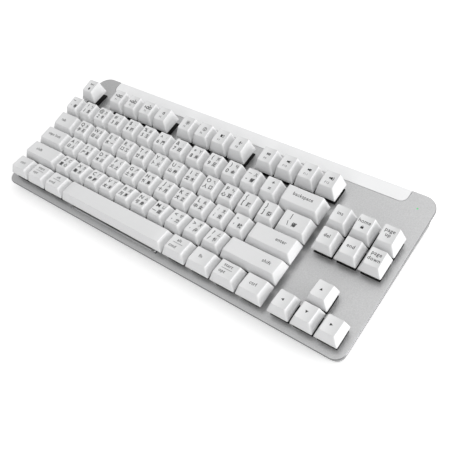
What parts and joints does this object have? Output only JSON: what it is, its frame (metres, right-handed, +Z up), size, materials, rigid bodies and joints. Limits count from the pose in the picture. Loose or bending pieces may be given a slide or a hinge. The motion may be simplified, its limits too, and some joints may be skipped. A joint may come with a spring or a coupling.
{
  "type": "mechanical keyboard",
  "caption": "Tenkeyless keyboard: thin metal deck, sculpted keycaps on sprung switches, tapered plastic case with folding rear feet, a sliding battery door and a rear power slider.",
  "frame": {"origin": "on the desk under the middle of the keyboard, with the rear feet folded", "axes": "+X to the typist's right along the longest side, +Y away from the typist, +Z up; the deck slopes up towards +Y"},
  "size_m": [0.3568, 0.1428, 0.0384],
  "materials": {
    "aluminium_deck": "fine blasted, clear anodised silver",
    "strip_white": "fine matt texture",
    "case_white": "fine matt texture",
    "board_green": "solder mask",
    "component_black": "moulded epoxy",
    "housing_black": "moulded nylon",
    "spring_steel": "bright drawn wire",
    "contact_metal": "plated strip",
    "wire_steel": "drawn wire",
    "cell_wrap": "printed wrap, left plain",
    "rubber_grey": "matt rubber",
    "screw_steel": "zinc plated",
    "light_pipe": "clear acrylic, green when lit",
    "keycap_white": "fine matt texture with dark grey lettering",
    "slider_white": "fine matt texture"
  },
  "bodies": {
    "keyboard": {"top_plate": "aluminium_deck", "rear_strip": "strip_white", "bottom_case": "case_white", "circuit_board": "board_green", "circuit_components": "component_black", "switch_lower_housings": "housing_black", "switch_upper_housings": "housing_black", "switch_springs": "spring_steel", "switch_contacts": "contact_metal", "stabiliser_housings": "housing_black", "battery_cells": "cell_wrap", "battery_contacts": "contact_metal", "rubber_feet": "rubber_grey", "case_screws": "screw_steel", "status_light_pipe": "light_pipe", "power_switch_body": "housing_black"},
    "foot_left": {"tilt_foot_left": "case_white", "tilt_foot_pad_left": "rubber_grey"},
    "foot_right": {"tilt_foot_right": "case_white", "tilt_foot_pad_right": "rubber_grey"},
    "battery_door": {"battery_door": "case_white"},
    "power_slider": {"power_slider": "slider_white"},
    "key_left_ctrl": {"key_left_ctrl": "keycap_white"},
    "key_left_start": {"key_left_start": "keycap_white"},
    "key_left_alt": {"key_left_alt": "keycap_white"},
    "key_space": {"key_space": "keycap_white"},
    "key_right_alt": {"key_right_alt": "keycap_white"},
    "key_fn": {"key_fn": "keycap_white"},
    "key_right_start": {"key_right_start": "keycap_white"},
    "key_right_ctrl": {"key_right_ctrl": "keycap_white"},
    "key_left_shift": {"key_left_shift": "keycap_white"},
    "keys_lower_row": {"keys_lower_row": "keycap_white"},
    "key_right_shift": {"key_right_shift": "keycap_white"},
    "key_caps_lock": {"key_caps_lock": "keycap_white"},
    "keys_home_row": {"keys_home_row": "keycap_white"},
    "key_enter": {"key_enter": "keycap_white"},
    "key_tab": {"key_tab": "keycap_white"},
    "keys_upper_row": {"keys_upper_row": "keycap_white"},
    "key_backslash": {"key_backslash": "keycap_white"},
    "keys_number_row": {"keys_number_row": "keycap_white"},
    "key_backspace": {"key_backspace": "keycap_white"},
    "key_esc": {"key_esc": "keycap_white"},
    "keys_f1_to_f4": {"keys_f1_to_f4": "keycap_white"},
    "keys_f5_to_f8": {"keys_f5_to_f8": "keycap_white"},
    "keys_f9_to_f12": {"keys_f9_to_f12": "keycap_white"},
    "key_arrow_left": {"key_arrow_left": "keycap_white"},
    "key_arrow_down": {"key_arrow_down": "keycap_white"},
    "key_arrow_right": {"key_arrow_right": "keycap_white"},
    "key_arrow_up": {"key_arrow_up": "keycap_white"},
    "key_delete": {"key_delete": "keycap_white"},
    "key_end": {"key_end": "keycap_white"},
    "key_page_down": {"key_page_down": "keycap_white"},
    "key_insert": {"key_insert": "keycap_white"},
    "key_home": {"key_home": "keycap_white"},
    "key_page_up": {"key_page_up": "keycap_white"},
    "stabiliser_wire_backspace": {"stabiliser_wire_backspace": "wire_steel"},
    "stabiliser_wire_enter": {"stabiliser_wire_enter": "wire_steel"},
    "stabiliser_wire_left_shift": {"stabiliser_wire_left_shift": "wire_steel"},
    "stabiliser_wire_right_shift": {"stabiliser_wire_right_shift": "wire_steel"},
    "stabiliser_wire_space": {"stabiliser_wire_space": "wire_steel"}
  },
  "joints": [
    {"name": "foot_left_fold", "type": "hinge", "parent": "keyboard", "child": "foot_left", "pos_m": [-0.13655, 0.05921, 0.0031], "axis": [1, 0, 0], "range_deg": [0, 80]},
    {"name": "foot_right_fold", "type": "hinge", "parent": "keyboard", "child": "foot_right", "pos_m": [0.13655, 0.05921, 0.0031], "axis": [1, 0, 0], "range_deg": [0, 80]},
    {"name": "battery_door_slide", "type": "slide", "parent": "keyboard", "child": "battery_door", "axis": [0, 1, 0], "range_m": [0, 0.012]},
    {"name": "power_slide", "type": "slide", "parent": "keyboard", "child": "power_slider", "axis": [1, 0, 0], "range_m": [0, 0.003]},
    {"name": "press_space", "type": "slide", "parent": "keyboard", "child": "key_space", "axis": [0, 0.0698, -0.9976], "range_m": [0, 0.004], "stiffness_N_per_m": 75, "springref_m": -0.004, "deforming": ["switch_springs"]},
    {"name": "press_enter", "type": "slide", "parent": "keyboard", "child": "key_enter", "axis": [0, 0.0698, -0.9976], "range_m": [0, 0.004], "stiffness_N_per_m": 75, "springref_m": -0.004, "deforming": ["switch_springs"]},
    {"name": "press_esc", "type": "slide", "parent": "keyboard", "child": "key_esc", "axis": [0, 0.0698, -0.9976], "range_m": [0, 0.004], "stiffness_N_per_m": 75, "springref_m": -0.004, "deforming": ["switch_springs"]},
    {"name": "press_left_shift", "type": "slide", "parent": "keyboard", "child": "key_left_shift", "axis": [0, 0.0698, -0.9976], "range_m": [0, 0.004], "stiffness_N_per_m": 75, "springref_m": -0.004, "deforming": ["switch_springs"]},
    {"name": "press_right_shift", "type": "slide", "parent": "keyboard", "child": "key_right_shift", "axis": [0, 0.0698, -0.9976], "range_m": [0, 0.004], "stiffness_N_per_m": 75, "springref_m": -0.004, "deforming": ["switch_springs"]},
    {"name": "press_backspace", "type": "slide", "parent": "keyboard", "child": "key_backspace", "axis": [0, 0.0698, -0.9976], "range_m": [0, 0.004], "stiffness_N_per_m": 75, "springref_m": -0.004, "deforming": ["switch_springs"]},
    {"name": "press_keys_home_row", "type": "slide", "parent": "keyboard", "child": "keys_home_row", "axis": [0, 0.0698, -0.9976], "range_m": [0, 0.004], "stiffness_N_per_m": 825, "springref_m": -0.004, "deforming": ["switch_springs"]},
    {"name": "press_keys_f1_to_f4", "type": "slide", "parent": "keyboard", "child": "keys_f1_to_f4", "axis": [0, 0.0698, -0.9976], "range_m": [0, 0.004], "stiffness_N_per_m": 300, "springref_m": -0.004, "deforming": ["switch_springs"]},
    {"name": "press_arrow_up", "type": "slide", "parent": "keyboard", "child": "key_arrow_up", "axis": [0, 0.0698, -0.9976], "range_m": [0, 0.004], "stiffness_N_per_m": 75, "springref_m": -0.004, "deforming": ["switch_springs"]},
    {"name": "press_page_down", "type": "slide", "parent": "keyboard", "child": "key_page_down", "axis": [0, 0.0698, -0.9976], "range_m": [0, 0.004], "stiffness_N_per_m": 75, "springref_m": -0.004, "deforming": ["switch_springs"]},
    {"name": "press_keys_number_row", "type": "slide", "parent": "keyboard", "child": "keys_number_row", "axis": [0, 0.0698, -0.9976], "range_m": [0, 0.004], "stiffness_N_per_m": 975, "springref_m": -0.004, "deforming": ["switch_springs"]},
    {"name": "press_left_ctrl", "type": "slide", "parent": "keyboard", "child": "key_left_ctrl", "axis": [0, 0.0698, -0.9976], "range_m": [0, 0.004], "stiffness_N_per_m": 75, "springref_m": -0.004, "deforming": ["switch_springs"]},
    {"name": "press_left_start", "type": "slide", "parent": "keyboard", "child": "key_left_start", "axis": [0, 0.0698, -0.9976], "range_m": [0, 0.004], "stiffness_N_per_m": 75, "springref_m": -0.004, "deforming": ["switch_springs"]},
    {"name": "press_left_alt", "type": "slide", "parent": "keyboard", "child": "key_left_alt", "axis": [0, 0.0698, -0.9976], "range_m": [0, 0.004], "stiffness_N_per_m": 75, "springref_m": -0.004, "deforming": ["switch_springs"]},
    {"name": "press_right_alt", "type": "slide", "parent": "keyboard", "child": "key_right_alt", "axis": [0, 0.0698, -0.9976], "range_m": [0, 0.004], "stiffness_N_per_m": 75, "springref_m": -0.004, "deforming": ["switch_springs"]},
    {"name": "press_fn", "type": "slide", "parent": "keyboard", "child": "key_fn", "axis": [0, 0.0698, -0.9976], "range_m": [0, 0.004], "stiffness_N_per_m": 75, "springref_m": -0.004, "deforming": ["switch_springs"]},
    {"name": "press_right_start", "type": "slide", "parent": "keyboard", "child": "key_right_start", "axis": [0, 0.0698, -0.9976], "range_m": [0, 0.004], "stiffness_N_per_m": 75, "springref_m": -0.004, "deforming": ["switch_springs"]},
    {"name": "press_right_ctrl", "type": "slide", "parent": "keyboard", "child": "key_right_ctrl", "axis": [0, 0.0698, -0.9976], "range_m": [0, 0.004], "stiffness_N_per_m": 75, "springref_m": -0.004, "deforming": ["switch_springs"]},
    {"name": "press_keys_lower_row", "type": "slide", "parent": "keyboard", "child": "keys_lower_row", "axis": [0, 0.0698, -0.9976], "range_m": [0, 0.004], "stiffness_N_per_m": 750, "springref_m": -0.004, "deforming": ["switch_springs"]},
    {"name": "press_caps_lock", "type": "slide", "parent": "keyboard", "child": "key_caps_lock", "axis": [0, 0.0698, -0.9976], "range_m": [0, 0.004], "stiffness_N_per_m": 75, "springref_m": -0.004, "deforming": ["switch_springs"]},
    {"name": "press_tab", "type": "slide", "parent": "keyboard", "child": "key_tab", "axis": [0, 0.0698, -0.9976], "range_m": [0, 0.004], "stiffness_N_per_m": 75, "springref_m": -0.004, "deforming": ["switch_springs"]},
    {"name": "press_keys_upper_row", "type": "slide", "parent": "keyboard", "child": "keys_upper_row", "axis": [0, 0.0698, -0.9976], "range_m": [0, 0.004], "stiffness_N_per_m": 900, "springref_m": -0.004, "deforming": ["switch_springs"]},
    {"name": "press_backslash", "type": "slide", "parent": "keyboard", "child": "key_backslash", "axis": [0, 0.0698, -0.9976], "range_m": [0, 0.004], "stiffness_N_per_m": 75, "springref_m": -0.004, "deforming": ["switch_springs"]},
    {"name": "press_keys_f5_to_f8", "type": "slide", "parent": "keyboard", "child": "keys_f5_to_f8", "axis": [0, 0.0698, -0.9976], "range_m": [0, 0.004], "stiffness_N_per_m": 300, "springref_m": -0.004, "deforming": ["switch_springs"]},
    {"name": "press_keys_f9_to_f12", "type": "slide", "parent": "keyboard", "child": "keys_f9_to_f12", "axis": [0, 0.0698, -0.9976], "range_m": [0, 0.004], "stiffness_N_per_m": 300, "springref_m": -0.004, "deforming": ["switch_springs"]},
    {"name": "press_arrow_left", "type": "slide", "parent": "keyboard", "child": "key_arrow_left", "axis": [0, 0.0698, -0.9976], "range_m": [0, 0.004], "stiffness_N_per_m": 75, "springref_m": -0.004, "deforming": ["switch_springs"]},
    {"name": "press_arrow_down", "type": "slide", "parent": "keyboard", "child": "key_arrow_down", "axis": [0, 0.0698, -0.9976], "range_m": [0, 0.004], "stiffness_N_per_m": 75, "springref_m": -0.004, "deforming": ["switch_springs"]},
    {"name": "press_arrow_right", "type": "slide", "parent": "keyboard", "child": "key_arrow_right", "axis": [0, 0.0698, -0.9976], "range_m": [0, 0.004], "stiffness_N_per_m": 75, "springref_m": -0.004, "deforming": ["switch_springs"]},
    {"name": "press_delete", "type": "slide", "parent": "keyboard", "child": "key_delete", "axis": [0, 0.0698, -0.9976], "range_m": [0, 0.004], "stiffness_N_per_m": 75, "springref_m": -0.004, "deforming": ["switch_springs"]},
    {"name": "press_end", "type": "slide", "parent": "keyboard", "child": "key_end", "axis": [0, 0.0698, -0.9976], "range_m": [0, 0.004], "stiffness_N_per_m": 75, "springref_m": -0.004, "deforming": ["switch_springs"]},
    {"name": "press_insert", "type": "slide", "parent": "keyboard", "child": "key_insert", "axis": [0, 0.0698, -0.9976], "range_m": [0, 0.004], "stiffness_N_per_m": 75, "springref_m": -0.004, "deforming": ["switch_springs"]},
    {"name": "press_home", "type": "slide", "parent": "keyboard", "child": "key_home", "axis": [0, 0.0698, -0.9976], "range_m": [0, 0.004], "stiffness_N_per_m": 75, "springref_m": -0.004, "deforming": ["switch_springs"]},
    {"name": "press_page_up", "type": "slide", "parent": "keyboard", "child": "key_page_up", "axis": [0, 0.0698, -0.9976], "range_m": [0, 0.004], "stiffness_N_per_m": 75, "springref_m": -0.004, "deforming": ["switch_springs"]},
    {"name": "wire_backspace_swing", "type": "hinge", "parent": "keyboard", "child": "stabiliser_wire_backspace", "pos_m": [0.09335, 0.01093, 0.01851], "axis": [-1, 0, 0], "range_deg": [0, 29]},
    {"name": "wire_enter_swing", "type": "hinge", "parent": "keyboard", "child": "stabiliser_wire_enter", "pos_m": [0.09097, -0.02708, 0.01585], "axis": [-1, 0, 0], "range_deg": [0, 29]},
    {"name": "wire_left_shift_swing", "type": "hinge", "parent": "keyboard", "child": "stabiliser_wire_left_shift", "pos_m": [-0.15192, -0.04608, 0.01452], "axis": [-1, 0, 0], "range_deg": [0, 29]},
    {"name": "wire_right_shift_swing", "type": "hinge", "parent": "keyboard", "child": "stabiliser_wire_right_shift", "pos_m": [0.08621, -0.04608, 0.01452], "axis": [-1, 0, 0], "range_deg": [0, 29]},
    {"name": "wire_space_swing", "type": "hinge", "parent": "keyboard", "child": "stabiliser_wire_space", "pos_m": [-0.04238, -0.06508, 0.01319], "axis": [-1, 0, 0], "range_deg": [0, 29]}
  ],
  "couplings": [
    {"joint": "wire_backspace_swing", "follows": "press_backspace", "rad_per_m": 126.34},
    {"joint": "wire_enter_swing", "follows": "press_enter", "rad_per_m": 126.34},
    {"joint": "wire_left_shift_swing", "follows": "press_left_shift", "rad_per_m": 126.34},
    {"joint": "wire_right_shift_swing", "follows": "press_right_shift", "rad_per_m": 126.34},
    {"joint": "wire_space_swing", "follows": "press_space", "rad_per_m": 126.34}
  ]
}
